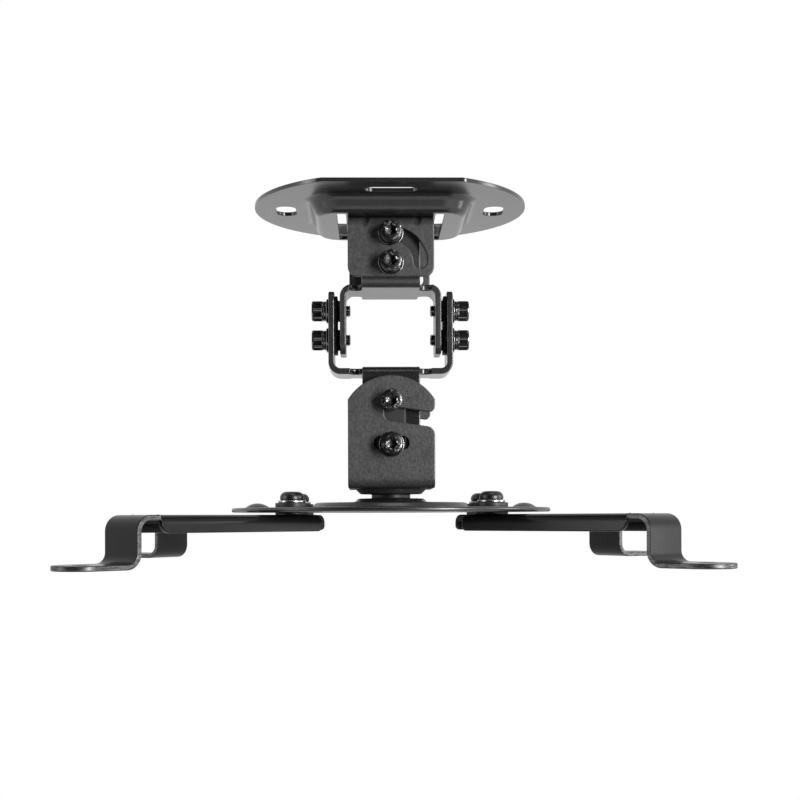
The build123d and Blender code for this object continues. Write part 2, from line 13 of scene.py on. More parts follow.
import bmesh
import bpy
import numpy as np
from mathutils import Matrix, Vector
from mathutils.bvhtree import BVHTree


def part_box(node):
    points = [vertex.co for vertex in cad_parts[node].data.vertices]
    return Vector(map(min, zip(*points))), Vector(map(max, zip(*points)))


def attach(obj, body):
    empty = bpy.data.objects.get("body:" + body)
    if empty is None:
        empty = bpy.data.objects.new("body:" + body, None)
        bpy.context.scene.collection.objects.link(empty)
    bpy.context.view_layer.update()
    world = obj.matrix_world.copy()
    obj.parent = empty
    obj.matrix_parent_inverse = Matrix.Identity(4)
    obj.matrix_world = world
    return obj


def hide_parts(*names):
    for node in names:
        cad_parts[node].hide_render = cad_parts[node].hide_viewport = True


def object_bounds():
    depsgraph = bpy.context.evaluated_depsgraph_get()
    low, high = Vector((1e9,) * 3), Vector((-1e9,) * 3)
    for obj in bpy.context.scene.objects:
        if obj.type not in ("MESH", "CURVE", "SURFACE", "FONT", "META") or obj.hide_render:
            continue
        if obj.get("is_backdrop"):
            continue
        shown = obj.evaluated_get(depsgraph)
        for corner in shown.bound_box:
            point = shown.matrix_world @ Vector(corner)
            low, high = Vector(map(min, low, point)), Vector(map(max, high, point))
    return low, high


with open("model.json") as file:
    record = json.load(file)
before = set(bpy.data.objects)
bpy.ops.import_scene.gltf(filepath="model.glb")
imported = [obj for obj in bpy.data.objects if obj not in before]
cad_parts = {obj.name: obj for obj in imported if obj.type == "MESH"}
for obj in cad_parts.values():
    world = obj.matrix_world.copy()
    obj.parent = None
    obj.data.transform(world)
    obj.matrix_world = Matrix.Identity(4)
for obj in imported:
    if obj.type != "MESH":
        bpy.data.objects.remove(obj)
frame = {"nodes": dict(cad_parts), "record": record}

cad_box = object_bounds()
mm = 0.001
nodes = frame["nodes"]
behaviour = frame["record"]["behaviour"]
body_of = {node: body for body, members in behaviour["bodies"].items() for node in members}
slot_of = {row["node"]: row["material_slot"] for row in frame["record"]["subparts"]}

# %% [markdown]
# ## The camera
#
# The mount hangs at eye level and the camera looks at it square on, from a little over half a
# metre. It stands level with the arms, which is why the disc shows only its rim while the ceiling
# plate shows its underside. The picture could be framed by pitching the camera up, but that would
# make the uprights lean. A view camera shifts its lens instead, and Blender's shift does the same,
# so the uprights stay upright.

# %% Place the camera
picture_px = 800
px_per_mm = 2.3784
axis_px = (391, 518)
sensor_mm = 36
camera_distance = 0.555
camera_height = -0.1305
camera_yaw = math.radians(0.9)
camera_roll = math.radians(-0.2)

focal_px = px_per_mm * camera_distance / mm
camera_data = bpy.data.cameras.new("photo_camera")
camera_data.sensor_width = sensor_mm
camera_data.lens = focal_px / picture_px * sensor_mm
camera_data.shift_x = (picture_px / 2 - axis_px[0]) / picture_px
camera_data.shift_y = (axis_px[1] - picture_px / 2) / picture_px
camera_data.clip_start = 0.01
camera = bpy.data.objects.new("photo_camera", camera_data)
bpy.context.scene.collection.objects.link(camera)
side_step = -camera_distance * math.sin(camera_yaw)
back_step = -camera_distance * math.cos(camera_yaw)
turn = Matrix.Rotation(-camera_yaw, 4, "Z") @ Matrix.Rotation(math.radians(90), 4, "X")
turn = turn @ Matrix.Rotation(camera_roll, 4, "Z")
camera.matrix_world = Matrix.Translation((side_step, back_step, camera_height)) @ turn
bpy.context.scene.camera = camera
lens_shift = [round(value, 4) for value in (camera_data.shift_x, camera_data.shift_y)]
print("lens", round(camera_data.lens, 2), "mm, shift", lens_shift)

# %% [markdown]
# ## Shader maths as Python
#
# A procedural finish is a web of nodes, and wiring each sum by hand hides what it means. A small
# class can wrap a socket and answer to plus, minus and times by adding Math nodes, so that a mask
# reads like a formula. Every other node comes from one method: it takes the node's type, its
# settings and then its sockets.


# %% The socket class and the node method
class Signal:
    """A socket's value in a node tree, with arithmetic that adds Math nodes."""

    def __init__(self, socket):
        self.socket = socket

    @classmethod
    def node(cls, tree, kind, settings=None, sockets=None, output=0):
        """Any node: its settings come first, then the values or links of its sockets.

        It gives one output as a signal, or all of them by name where output is None.
        """
        node = tree.nodes.new("ShaderNode" + kind)
        for name, setting in (settings or {}).items():
            setattr(node, name, setting)
        for name, value in (sockets or {}).items():
            if isinstance(value, Signal):
                tree.links.new(value.socket, node.inputs[name])
            else:
                node.inputs[name].default_value = value
        if output is None:
            return {socket.name: cls(socket) for socket in node.outputs}
        return cls(node.outputs[output]) if node.outputs else None

    def math(self, operation, *operands, clamp=False):
        """A Math node on these operands, in this signal's tree."""
        settings = {"operation": operation, "use_clamp": clamp}
        return Signal.node(self.socket.id_data, "Math", settings, dict(enumerate(operands)))

    def __add__(self, other):
        return self.math("ADD", self, other)

    def __radd__(self, other):
        return self.math("ADD", other, self)

    def __sub__(self, other):
        return self.math("SUBTRACT", self, other)

    def __rsub__(self, other):
        return self.math("SUBTRACT", other, self)

    def __mul__(self, other):
        return self.math("MULTIPLY", self, other)

    def __rmul__(self, other):
        return self.math("MULTIPLY", other, self)

    def __abs__(self):
        return self.math("ABSOLUTE", self)

    def larger(self, other):
        return self.math("MAXIMUM", self, other)

    def above(self, limit, width):
        """0 below the limit and 1 above it, with a ramp of the given width between."""
        return self.math("MULTIPLY", self - (limit - width / 2), 1 / width, clamp=True)


print("a Signal answers to + - * abs, larger and above")

# %% [markdown]
# ## The studio
#
# Product pictures of black metal are made in a white room: the paint itself returns little light,
# and what shows its shape is the white room mirrored at a slant. A sky or a sun could light it too,
# but they would tint the black or throw hard shadows. So the world is white to the camera and to
# mirror rays, and dimmer as a lamp. The floor is far below, white as well, and throws light up
# under the ceiling plate.

# %% What the studio is made of
scene = bpy.context.scene
scene.view_settings.view_transform = "Standard"


def grey(level):
    return (level, level, level, 1.0)


white = grey(1.0)


def seen_directly(tree):
    """1 for rays that show the background itself: from the camera, in a mirror or through glass."""
    rays = Signal.node(tree, "LightPath", output=None)
    mirrored = rays["Is Glossy Ray"].larger(rays["Is Transmission Ray"])
    return rays["Is Camera Ray"].larger(mirrored)


def stage_panel(name, corners, material):
    """A flat sheet of the studio, which is no part of the mount."""
    mesh = bpy.data.meshes.new(name)
    mesh.from_pydata(corners, [], [tuple(range(len(corners)))])
    mesh.materials.append(material)
    panel = bpy.data.objects.new(name, mesh)
    scene.collection.objects.link(panel)
    panel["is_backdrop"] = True
    return panel


def plain_paint(name, level, glows):
    """Matt paint for the studio. Where it glows, it is white to the rays that see the background."""
    material = bpy.data.materials.new(name)
    material.use_nodes = True
    tree = material.node_tree
    tree.nodes.clear()
    surface = Signal.node(tree, "BsdfDiffuse", sockets={"Color": grey(level)})
    if glows:
        glow = Signal.node(tree, "Emission", sockets={"Color": white, "Strength": 1.0})
        surface = Signal.node(tree, "MixShader", sockets={0: seen_directly(tree), 1: surface, 2: glow})
    Signal.node(tree, "OutputMaterial", sockets={"Surface": surface})
    return material


print("view transform:", scene.view_settings.view_transform)

# %% White world and floor
world_level = 0.45
floor_drop = 0.60
floor_half = 6.0
floor_white = 0.80

world = bpy.data.worlds.new("white_room")
scene.world = world
world.use_nodes = True
world.node_tree.nodes.clear()
level = world_level + seen_directly(world.node_tree) * (1 - world_level)
sky = Signal.node(world.node_tree, "Background", sockets={"Color": white, "Strength": level})
Signal.node(world.node_tree, "OutputWorld", sockets={"Surface": sky})

floor_z = cad_box[0][2] - floor_drop
around = ((-1, -1), (1, -1), (1, 1), (-1, 1))
floor_corners = [(x * floor_half, y * floor_half, floor_z) for x, y in around]
stage_panel("studio_floor", floor_corners, plain_paint("floor_paint", floor_white, glows=True))
print("white room with its floor at", round(floor_z, 3), "m")

# %% [markdown]
# The faces that look at the camera are dark, and so are the flat ends of the screws: they mirror
# the dim half of the room, where the photographer stands. The world could be darkened there, but
# then a view from that side would lose its white background. A black curtain and a canopy do it
# instead, as in a real studio, hidden from the camera. The canopy keeps the bends that look up and
# forward from mirroring a white ceiling.

# %% Black curtain and canopy
curtain_black = 0.02
curtain_y = -1.25
curtain_half = 1.5
curtain_top = 1.6
curtain_lift = 0.05
canopy_y = -0.10
felt = plain_paint("black_felt", curtain_black, glows=False)
curtain_foot = floor_z + curtain_lift
curtain_corners = [(-curtain_half, curtain_y, curtain_foot), (curtain_half, curtain_y, curtain_foot),
                   (curtain_half, curtain_y, curtain_top), (-curtain_half, curtain_y, curtain_top)]
canopy_corners = [(-curtain_half, curtain_y, curtain_top), (curtain_half, curtain_y, curtain_top),
                  (curtain_half, canopy_y, curtain_top), (-curtain_half, canopy_y, curtain_top)]
for name, corners in (("black_curtain", curtain_corners), ("black_canopy", canopy_corners)):
    stage_panel(name, corners, felt).visible_camera = False
print("curtain at", curtain_y, "m")

# %% [markdown]
# The shadows beside the screw heads fall to the left and the edges that face right are bright, so
# the main soft box stands to the front and right, level with the mount. A narrow one close to the
# right draws the rims, a weak one on the left keeps the far edges from vanishing, and one overhead
# draws the upper rims. Point lamps would give hard little dots, while areas give soft bright bars.

# %% Soft boxes
aim = Vector((0, 0, -0.08))
soft_boxes = {
    "right_box": ((0.62, -0.85, -0.02), (0.25, 0.60), 17.0),
    "left_box": ((-0.85, -0.30, 0.00), (0.12, 0.70), 2.0),
    "rim_box": ((0.90, -0.05, -0.05), (0.20, 0.60), 4.0),
    "top_box": ((0.05, -0.30, 0.80), (0.50, 0.30), 2.0),
}
for name, (place, size, watts) in soft_boxes.items():
    lamp_data = bpy.data.lights.new(name, "AREA")
    lamp_data.shape = "RECTANGLE"
    lamp_data.size, lamp_data.size_y = size
    lamp_data.energy = watts
    lamp = bpy.data.objects.new(name, lamp_data)
    lamp.location = place
    lamp.rotation_euler = (aim - Vector(place)).to_track_quat("-Z", "Y").to_euler()
    scene.collection.objects.link(lamp)
print("soft boxes:", ", ".join(soft_boxes))

# %% [markdown]
# ## The finishes
#
# The folded sheets wear a black powder coat: a thin plastic skin with a fine orange-peel texture.
# It is dull head on and shines at a slant. A flat grey would look like card, so small noise moves
# the colour and the roughness, and a bump of the same grain breaks up the shine. Where the sheet
# was sheared the coat is thin and streaked. A mask can find those faces from the surface's own
# place and direction, in the piece's own coordinates, so that it stays put when the piece moves.


# %% A finish and its parts
class Finish:
    """One procedural material on a Principled shader."""

    def __init__(self, name, **constants):
        self.material = bpy.data.materials.new(name)
        self.material.use_nodes = True
        self.tree = self.material.node_tree
        self.shader = self.tree.nodes["Principled BSDF"]
        for socket, value in constants.items():
            self.shader.inputs[socket.replace("_", " ")].default_value = value
        here = self.node("TexCoord", output=None)
        self.place, self.facing = here["Object"], here["Normal"]

    def node(self, kind, settings=None, sockets=None, output=0):
        return Signal.node(self.tree, kind, settings, sockets, output)

    def axes(self, vector):
        """The x, y and z of a vector, each as a signal."""
        return list(self.node("SeparateXYZ", sockets={0: vector}, output=None).values())

    def dot(self, vector, direction):
        """How far a vector goes along a fixed direction."""
        sockets = {0: vector, 1: direction}
        return self.node("VectorMath", {"operation": "DOT_PRODUCT"}, sockets, output="Value")

    def grain(self, size, detail=2.0, rough=0.5, stretch=None):
        """Noise from 0 to 1 with features of a given size in metres, longer where stretched."""
        place = self.place
        if stretch:
            place = self.node("VectorMath", {"operation": "DIVIDE"}, {0: place, 1: stretch})
        sockets = {"Vector": place, "Scale": 1 / size, "Detail": detail, "Roughness": rough}
        return self.node("TexNoise", sockets=sockets)

    def blend(self, factor, dark, light):
        """A colour between two others."""
        sockets = {0: factor, 6: dark, 7: light}
        return self.node("Mix", {"data_type": "RGBA"}, sockets, output=2)

    def wire(self, socket, signal):
        """Feeds one of the shader's own sockets."""
        self.tree.links.new(signal.socket, self.shader.inputs[socket])

    def relief(self, height, depth, strength=1.0):
        """Bump of a given depth in metres."""
        sockets = {"Height": height, "Distance": depth, "Strength": strength}
        self.wire("Normal", self.node("Bump", sockets=sockets))


print("each finish is a Principled shader")

# %% [markdown]
# The grain of the coat is a noise of just under a millimetre, and a broader one stands for the
# uneven spray. Both could be painted on a texture, but noise in the piece's own coordinates needs
# no unwrapping and stays sharp close up. One function makes the coat for every sheet, and each
# sheet hands it its own greys. These greys are painted light and shade: the coat is the same black
# on every sheet, but the cheeks and the upper yoke get lighter greys than the plate, the disc and
# the lower yoke, and the upper yoke's are raised to light its tongue where the cheek shades it.

# %% Powder coat
peel_size = 0.9 * mm
cloud_size = 9 * mm
peel_share = 0.6
peel_dulls, cloud_dulls, edge_dulls = 0.08, 0.06, 0.04
streak_size = 0.6 * mm
streak_stretch = (1.0, 1.0, 5.0)
edge_dark, edge_light = 0.008, 0.034


def powder_coat(name, dullness, dark, light, peel, sheared=None):
    """A coat by its roughness, its two greys and the depth of its orange peel.

    Where a mask of the sheared faces is given, those are streaked.
    """
    coat = Finish(name, IOR=1.55)
    fine = coat.grain(peel_size, detail=3.0)
    broad = coat.grain(cloud_size, detail=3.0)
    mottle = fine.above(0.5, 0.4) * peel_share + broad * (1 - peel_share)
    paint = coat.blend(mottle, grey(dark), grey(light))
    roughness = dullness + fine * peel_dulls + broad * cloud_dulls
    if sheared:
        edge = sheared(coat)
        streak = coat.grain(streak_size, detail=3.0, rough=0.6, stretch=streak_stretch)
        bare = coat.blend(streak.above(0.5, 0.6), grey(edge_dark), grey(edge_light))
        paint = coat.blend(edge, paint, bare)
        roughness = roughness + edge * edge_dulls
    coat.wire("Base Color", paint)
    coat.wire("Roughness", roughness)
    coat.relief(fine, peel)
    return coat.material


print("powder coat with a grain of", peel_size / mm, "mm")

# %% [markdown]
# The sheared edges lie on different faces of different pieces. The yokes are bent like a U seen
# from the front, so their edges face front and back, beside the tongues. The two brackets are bent
# like a U seen from the side, so their edges face every way except front and back, above the base.
# The faces could be picked by hand, but a mask from place and direction needs no list of faces.
# Each piece hands the coat the mask that fits its own fold.

# %% Where the sheets were sheared
fade = 0.4 * mm


def yoke_edges(tongue_reach):
    """Mask of the faces that look front or back, outside the tongues."""
    def mask(coat):
        x = coat.axes(coat.place)[0]
        facing_y = coat.axes(coat.facing)[1]
        return abs(facing_y).above(0.7, 0.2) * abs(x).above(tongue_reach, fade)
    return mask


def cheek_edges(low, high):
    """Mask of a cheek's outline and slots, between heights that leave out the base and bends."""
    def mask(coat):
        z = coat.axes(coat.place)[2]
        facing_y = coat.axes(coat.facing)[1]
        side_on = 1 - abs(facing_y).above(0.5, 0.3)
        return side_on * z.above(low, fade) * (1 - z.above(high, fade))
    return mask


bend_room = 4.2 * mm
bracket_low, bracket_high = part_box("ceiling_bracket")
swivel_low, swivel_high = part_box("swivel_bracket")
tilt_cheek = cheek_edges(bracket_low.z - mm, bracket_high.z - bend_room)
roll_cheek = cheek_edges(swivel_low.z + 1.5 * bend_room, swivel_high.z + mm)
upper_edges = yoke_edges(12.2 * mm)
lower_edges = yoke_edges(12.0 * mm)
print("sheared faces of two brackets and two yokes")

# %% A coat for each sheet
# Painted light: the cheeks' and the upper yoke's greys are lighter than the rest of the same coat, the
# upper yoke's to light its tongue where the cheek shades it.
coats = {
    "ceiling_plate": powder_coat("plate_coat", 0.16, 0.010, 0.018, 0.001 * mm),
    "swivel_disc": powder_coat("disc_coat", 0.26, 0.006, 0.012, 0.01 * mm),
    "ceiling_bracket": powder_coat("tilt_cheek_coat", 0.36, 0.012, 0.054, 0.08 * mm, tilt_cheek),
    "swivel_bracket": powder_coat("roll_cheek_coat", 0.36, 0.012, 0.054, 0.08 * mm, roll_cheek),
    "upper_yoke": powder_coat("upper_yoke_coat", 0.22, 0.016, 0.044, 0.020 * mm, upper_edges),
    "lower_yoke": powder_coat("lower_yoke_coat", 0.14, 0.008, 0.018, 0.006 * mm, lower_edges),
}
print("powder coats:", len(coats))

# %% [markdown]
# The arms are smoother: a satin paint with hardly any grain. Their side edges were sheared last, so
# there the paint is thin and the steel glitters through. Each arm points its own way. The direction
# in which it slides is in the frame's record, and a dot product with it tells how far along the arm
# a point lies and which way a face looks.

# %% Satin paint with bare edges
foot_length = 26.8 * mm
flange_gap = 10.5 * mm
foot_bend = 0.2 * foot_length
skin_dark, skin_light = 0.004, 0.009
bare_dark, bare_light = 0.012, 0.13
glitter_size = 0.5 * mm
glitter_stretch = (6.0, 6.0, 1.0)
joints = behaviour["joints"]
slide_axis = {joint["child"]: Vector(joint["axis"]) for joint in joints if joint["type"] == "slide"}


def satin_paint(node):
    """The paint of one arm, bare along the edges of its foot and of the strap before it."""
    outward = -slide_axis[body_of[node]]
    sideways = outward.cross(Vector((0, 0, 1)))
    tip = max(outward.dot(vert.co) for vert in nodes[node].data.vertices)
    paint = Finish(node + "_enamel", IOR=1.24)
    fine = paint.grain(0.6 * mm)
    broad = paint.grain(14 * mm, detail=3.0)
    along = paint.dot(paint.place, outward)
    beyond_flange = along.above(tip - foot_length - flange_gap, mm)
    on_foot = along.above(tip - foot_length + foot_bend, mm)
    looks_sideways = abs(paint.dot(paint.facing, sideways)).above(0.75, 0.2)
    upright = 1 - abs(paint.axes(paint.facing)[2]).above(0.5, 0.3)
    sheared = (beyond_flange * looks_sideways).larger(on_foot * upright)
    glitter = paint.grain(glitter_size, detail=3.0, rough=0.7, stretch=glitter_stretch)
    bare = paint.blend(glitter.above(0.52, 0.4), grey(bare_dark), grey(bare_light))
    skin = paint.blend(broad, grey(skin_dark), grey(skin_light))
    paint.wire("Base Color", paint.blend(sheared, skin, bare))
    paint.wire("Metallic", sheared * 0.8)
    paint.wire("Roughness", 0.20 + fine * 0.05 + broad * 0.06 + sheared * 0.15)
    paint.relief(fine, 0.02 * mm, strength=0.2)
    return paint.material


for node in nodes:
    if slot_of[node] == "arm_enamel":
        coats[node] = satin_paint(node)
print("finishes by node:", len(coats))

# %% [markdown]
# The fasteners are blackened steel. The cap screws are polished and throw sharp glints, apart from
# the ends of their heads, which are duller and carry light flecks painted in as glints. The pan
# heads of the arms' screws are duller, and the washers under them brighter, as new spring steel
# is. The spacer plates are dull moulded plastic, and the friction washers a harder, waxy one.

# %% Blackened steel and plastics
stain_size = 1.2 * mm
# Light flecks painted on the ends of the cap screws' heads stand for glints.
painted_glint_size = 0.9 * mm
mould_grain = 0.4 * mm
end_dark, painted_glint_light = 0.04, 0.45


def blackened_steel(name, dark, light, roughness, end_axis=None):
    """Steel by its two greys and its roughness. The faces that look along end_axis are duller and
    carry light flecks, painted glints.
    """
    steel = Finish(name, Metallic=1.0)
    stain = steel.grain(stain_size, detail=4.0, rough=0.6)
    tone = steel.blend(stain, grey(dark), grey(light))
    dullness = roughness + stain * 0.14
    if end_axis:
        end = abs(steel.dot(steel.facing, end_axis)).above(0.93, 0.06)
        # Painted glints: light flecks on the faces that look along the screw's axis.
        painted_glints = steel.grain(painted_glint_size, detail=2.0).above(0.63, 0.12)
        tone = steel.blend(end, tone, steel.blend(painted_glints, grey(end_dark), grey(painted_glint_light)))
        dullness = dullness + end * 0.16
    steel.wire("Base Color", tone)
    steel.wire("Roughness", dullness)
    steel.relief(stain, 0.02 * mm, strength=0.15)
    return steel.material


def moulded_plastic(name, level, roughness):
    """Plastic by its grey and its roughness, with the fine grain of its mould."""
    plastic = Finish(name, IOR=1.46)
    fine = plastic.grain(mould_grain)
    plastic.wire("Base Color", plastic.blend(fine, grey(level * 0.8), grey(level * 1.3)))
    plastic.wire("Roughness", roughness + fine * 0.1)
    plastic.relief(fine, 0.02 * mm, strength=0.3)
    return plastic.material


print("steel with stains of", stain_size / mm, "mm")

# %% [markdown]
# Each node now gets its finish. It could be handed out piece by piece, but the frame's record
# already names a slot for each node. So only what differs from its slot is listed: the sheets, the
# arms, the cap screws with painted glints on their heads, and the screws and washers of the arms.

# %% Hand out the finishes
fastener_look = (0.09, 0.24, 0.12)
front_back = (0, 1, 0)
finishes = {
    "black_fastener": blackened_steel("black_fastener", *fastener_look),
    "spacer_plastic": moulded_plastic("spacer_plastic", 0.008, 0.55),
    "friction_plastic": moulded_plastic("friction_plastic", 0.010, 0.42),
}
pan_steel = blackened_steel("pan_head_steel", 0.03, 0.07, 0.30)
washer_steel = blackened_steel("washer_steel", 0.20, 0.50, 0.22)
for joint in ("tilt", "roll"):
    name = joint + "_screw_steel"
    coats[joint + "_screws"] = blackened_steel(name, *fastener_look, end_axis=front_back)
arm_corners = ("front_left", "front_right", "rear_left", "rear_right")
for corner in arm_corners:
    coats[corner + "_screw"] = pan_steel
    coats[corner + "_washer"] = washer_steel
for name, solid in nodes.items():
    finish = coats.get(name) or finishes[slot_of[name]]
    solid.data.materials.clear()
    solid.data.materials.append(finish)
print("finished nodes:", len(nodes))

# %% [markdown]
# ## Folded sheets with eased edges
#
# Sheared sheet is tumbled before it is painted, so its edges are round, and the paint rounds them
# further. Those round edges catch the soft boxes as thin bright lines, which is most of what draws
# a black part. The solids have sharp edges. A Bevel node could fake the round in the shading, but
# the outline would stay sharp, so each sheet is copied and its sharp edges are bevelled in the
# mesh. Where edges meet at a shallow angle a bevel can throw a point far out, so any point that
# strays from the sheet is put back on it. The copy stands for its solid, which stays for its
# weight.


# %% Ease the edges
def stands_for(mesh, name, node):
    """Shows a mesh in a node's place: it takes the node's finish and rides where the node rides."""
    made = bpy.data.objects.new(name, mesh)
    scene.collection.objects.link(made)
    mesh.materials.clear()
    mesh.materials.append(nodes[node].data.materials[0])
    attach(made, body_of[node])
    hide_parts(node)
    print(name, "faces:", len(mesh.polygons))
    return made


weld = 1e-7
flat_turn = math.radians(0.4)
sharp_turn = math.radians(35)
ease_steps = 3
stray = 0.45


def eased(node, radius):
    """Copies a sheet and rounds its sharp edges."""
    sheet = bmesh.new()
    sheet.from_mesh(nodes[node].data)
    bmesh.ops.remove_doubles(sheet, verts=sheet.verts, dist=weld)
    bmesh.ops.dissolve_limit(sheet, angle_limit=flat_turn, verts=sheet.verts, edges=sheet.edges)
    sharp = [edge for edge in sheet.edges
             if len(edge.link_faces) == 2 and edge.calc_face_angle() > sharp_turn]
    skin = BVHTree.FromBMesh(sheet)
    bmesh.ops.bevel(sheet, geom=sharp, offset=radius, offset_type="OFFSET", segments=ease_steps,
                    profile=0.5, affect="EDGES", clamp_overlap=False)
    for vert in sheet.verts:
        nearest, _, _, gap = skin.find_nearest(vert.co)
        if gap > stray * radius:
            vert.co = nearest
    bmesh.ops.recalc_face_normals(sheet, faces=sheet.faces)
    mesh = bpy.data.meshes.new(node + "_eased")
    sheet.to_mesh(mesh)
    sheet.free()
    mesh.polygons.foreach_set("use_smooth", [True] * len(mesh.polygons))
    made = stands_for(mesh, node + "_eased", node)
    made.modifiers.new("even_normals", "WEIGHTED_NORMAL")


ease_radius = {"powder_coat": 0.5 * mm, "arm_enamel": 0.45 * mm, "spacer_plastic": 0.2 * mm}
thin_sheets = {"ceiling_plate": 0.2 * mm, "swivel_disc": 0.7 * mm}
for node in nodes:
    radius = thin_sheets.get(node) or ease_radius.get(slot_of[node])
    if radius:
        eased(node, radius)

# %% [markdown]
# ## Turned pieces
#
# Screws, nuts and washers are turned on a lathe, so each is a stack of rings. A plain ring has one
# radius, but a ring whose radius changes with the angle gives the rest: a zigzag for a knurl, a
# hexagon for a socket, a cross for a driver and a wave that climbs as it turns for a thread.
# Boolean cuts could make these too, but they leave ragged meshes, while rings stay clean. One
# function builds them all, from rows of radius and height.

# %% The lathe
segments = 72


def turned(piece, rows, place, hollow=False):
    """Adds rings to a bmesh. A row is a radius, or a function of the angle, and a height."""
    rings = []
    for radius, height in rows:
        ring = []
        for step in range(segments):
            angle = 2 * math.pi * step / segments
            reach = radius(angle) if callable(radius) else radius
            point = Vector((reach * math.cos(angle), reach * math.sin(angle), height))
            ring.append(piece.verts.new(place @ point))
        rings.append(ring)
    pairs = list(zip(rings, rings[1:]))
    if hollow:
        pairs.append((rings[-1], rings[0]))
    for low, high in pairs:
        for step in range(segments):
            after = (step + 1) % segments
            piece.faces.new((low[step], low[after], high[after], high[step]))
    if not hollow:
        for ring, height, flip in ((rings[0], rows[0][1], True), (rings[-1], rows[-1][1], False)):
            middle = piece.verts.new(place @ Vector((0, 0, height)))
            for step in range(segments):
                after = (step + 1) % segments
                corner = (ring[after], ring[step]) if flip else (ring[step], ring[after])
                piece.faces.new((corner[0], corner[1], middle))


def spun(place, spin, count):
    """Turns a place about its own axis, by a first angle and a further one for each screw."""
    start, step = spin
    return place @ Matrix.Rotation(math.radians(start + step * count), 4, "Z")


def finish_piece(piece, name, node):
    """Makes a smooth mesh of a bmesh, its sharp edges kept, and shows it in its node's place."""
    bmesh.ops.recalc_face_normals(piece, faces=piece.faces)
    mesh = bpy.data.meshes.new(name)
    piece.to_mesh(mesh)
    piece.free()
    mesh.polygons.foreach_set("use_smooth", [True] * len(mesh.polygons))
    mesh.set_sharp_from_angle(angle=sharp_turn)
    stands_for(mesh, name, node)


print("lathe of", segments, "segments")

# %% [markdown]
# Three ring shapes cover the fasteners. A hexagon's radius follows from its flats, a cross's from
# its arms, and a thread's from how far up the turn has climbed. A hexagon whose corners are cut by
# a cone gives a nut its chamfer.


# %% Rings that aren't round
def hexagon(across, corner_cut=2.0):
    """Radius of a hexagon by angle, from the distance across its flats, its corners cut round."""
    def radius(angle):
        sixth = math.pi / 3
        flat = across / 2 / math.cos((angle + sixth / 2) % sixth - sixth / 2)
        return min(flat, corner_cut * across / 2)
    return radius


def cross(half_length, half_width):
    """Radius of a cross by angle."""
    def radius(angle):
        quarter = math.pi / 2
        slant = (angle + quarter / 2) % quarter - quarter / 2
        end = half_length / math.cos(slant)
        side = half_width / max(abs(math.sin(slant)), 1e-6)
        return min(end, side)
    return radius


def thread_rows(radius, pitch, start, end):
    """Rings of a screw thread between two heights."""
    rows_per_turn = 8
    depth = 0.54 * pitch
    count = max(2, round(abs(end - start) / pitch * rows_per_turn))
    rows = []
    for step in range(count + 1):
        height = start + (end - start) * step / count

        def wave(angle, height=height):
            phase = (height / pitch - angle / (2 * math.pi)) % 1.0
            return radius - depth * abs(2 * phase - 1)
        rows.append((wave, height))
    return rows


print("rings: hexagon, cross, thread")

# %% [markdown]
# A node can hold several screws. Each is found by walking from point to point along the mesh's
# edges, and its own box gives its place, its length and its radius, so that nothing about the frame
# has to be typed here again.


# %% Where each solid sits
def loose_solids(node):
    """The separate solids of a node, each as an array of its points."""
    solid = bmesh.new()
    solid.from_mesh(nodes[node].data)
    bmesh.ops.remove_doubles(solid, verts=solid.verts, dist=weld)
    waiting = set(solid.verts)
    groups = []
    while waiting:
        front = [waiting.pop()]
        group = []
        while front:
            vert = front.pop()
            group.append(vert.co.copy())
            for edge in vert.link_edges:
                other = edge.other_vert(vert)
                if other in waiting:
                    waiting.remove(other)
                    front.append(other)
        groups.append(np.array(group))
    solid.free()
    groups.sort(key=lambda group: tuple(group.mean(0).round(6)))
    return groups


def seats(node, axis, upward=False):
    """For each solid: a frame at its inner end, pointing out along the axis, its length and radius."""
    found = []
    for points in loose_solids(node):
        low, high = points.min(0), points.max(0)
        middle = (low + high) / 2
        positive = upward or middle[axis] > 0
        outward = Vector([0, 0, 0])
        outward[axis] = 1 if positive else -1
        start = Vector(middle)
        start[axis] = low[axis] if positive else high[axis]
        turn = outward.to_track_quat("Z", "Y").to_matrix().to_4x4()
        radius = max(high[other] - low[other] for other in range(3) if other != axis) / 2
        found.append((Matrix.Translation(start) @ turn, high[axis] - low[axis], radius))
    return found


print("tilt screws:", len(loose_solids("tilt_screws")))

# %% [markdown]
# ## Socket screws
#
# The tilt, pitch and roll joints are locked by socket cap screws. Their heads have a fine knurl for
# the fingers, a chamfer on top and a hexagon socket, and their tips show a thread where they leave
# the sheet. A cylinder with a bump would pass from afar, but the glints come from the real edges of
# the knurl and the socket, so they are mesh. The bolt that the disc turns on is of the same family,
# wider and without a knurl.

# %% The rows of a socket screw
knurl_depth = 0.16 * mm
top_chamfer = 0.45 * mm
tip_cut = 0.7 * mm
tip_rise = 0.35 * mm
countersink = 0.3 * mm
countersink_share = 0.60


def socket_screw_rows(length, head, height, shank, across, depth, pitch, knurled):
    """Rows of a socket screw from its tip at height 0, over its head, to the bottom of its socket."""
    seat = length - height
    threaded = min(8 * pitch, seat - 0.5 * mm)

    def knurl(angle):
        tooth = round(angle / (2 * math.pi) * segments) % 2
        return head - knurl_depth * tooth * knurled
    rows = [(shank - tip_cut, 0)]
    rows += thread_rows(shank, pitch, tip_rise, threaded)
    rows += [(shank, threaded + 0.1 * mm), (shank, seat)]
    rows += [(head - 0.3 * mm, seat), (head - 0.05 * mm, seat + 0.25 * mm)]
    rows += [(head, seat + 0.6 * mm), (knurl, seat + 0.7 * mm)]
    rows += [(knurl, length - top_chamfer - 0.35 * mm), (head, length - top_chamfer - 0.25 * mm)]
    rows += [(head, length - top_chamfer), (head - 0.15 * mm, length - 0.12 * mm)]
    rows += [(head - top_chamfer, length)]
    rows += [(countersink_share * across, length), (hexagon(across), length - countersink)]
    rows += [(hexagon(across), length - depth), (0.4 * mm, length - depth - 0.4 * mm)]
    return rows


print("knurl of", segments // 2, "teeth")

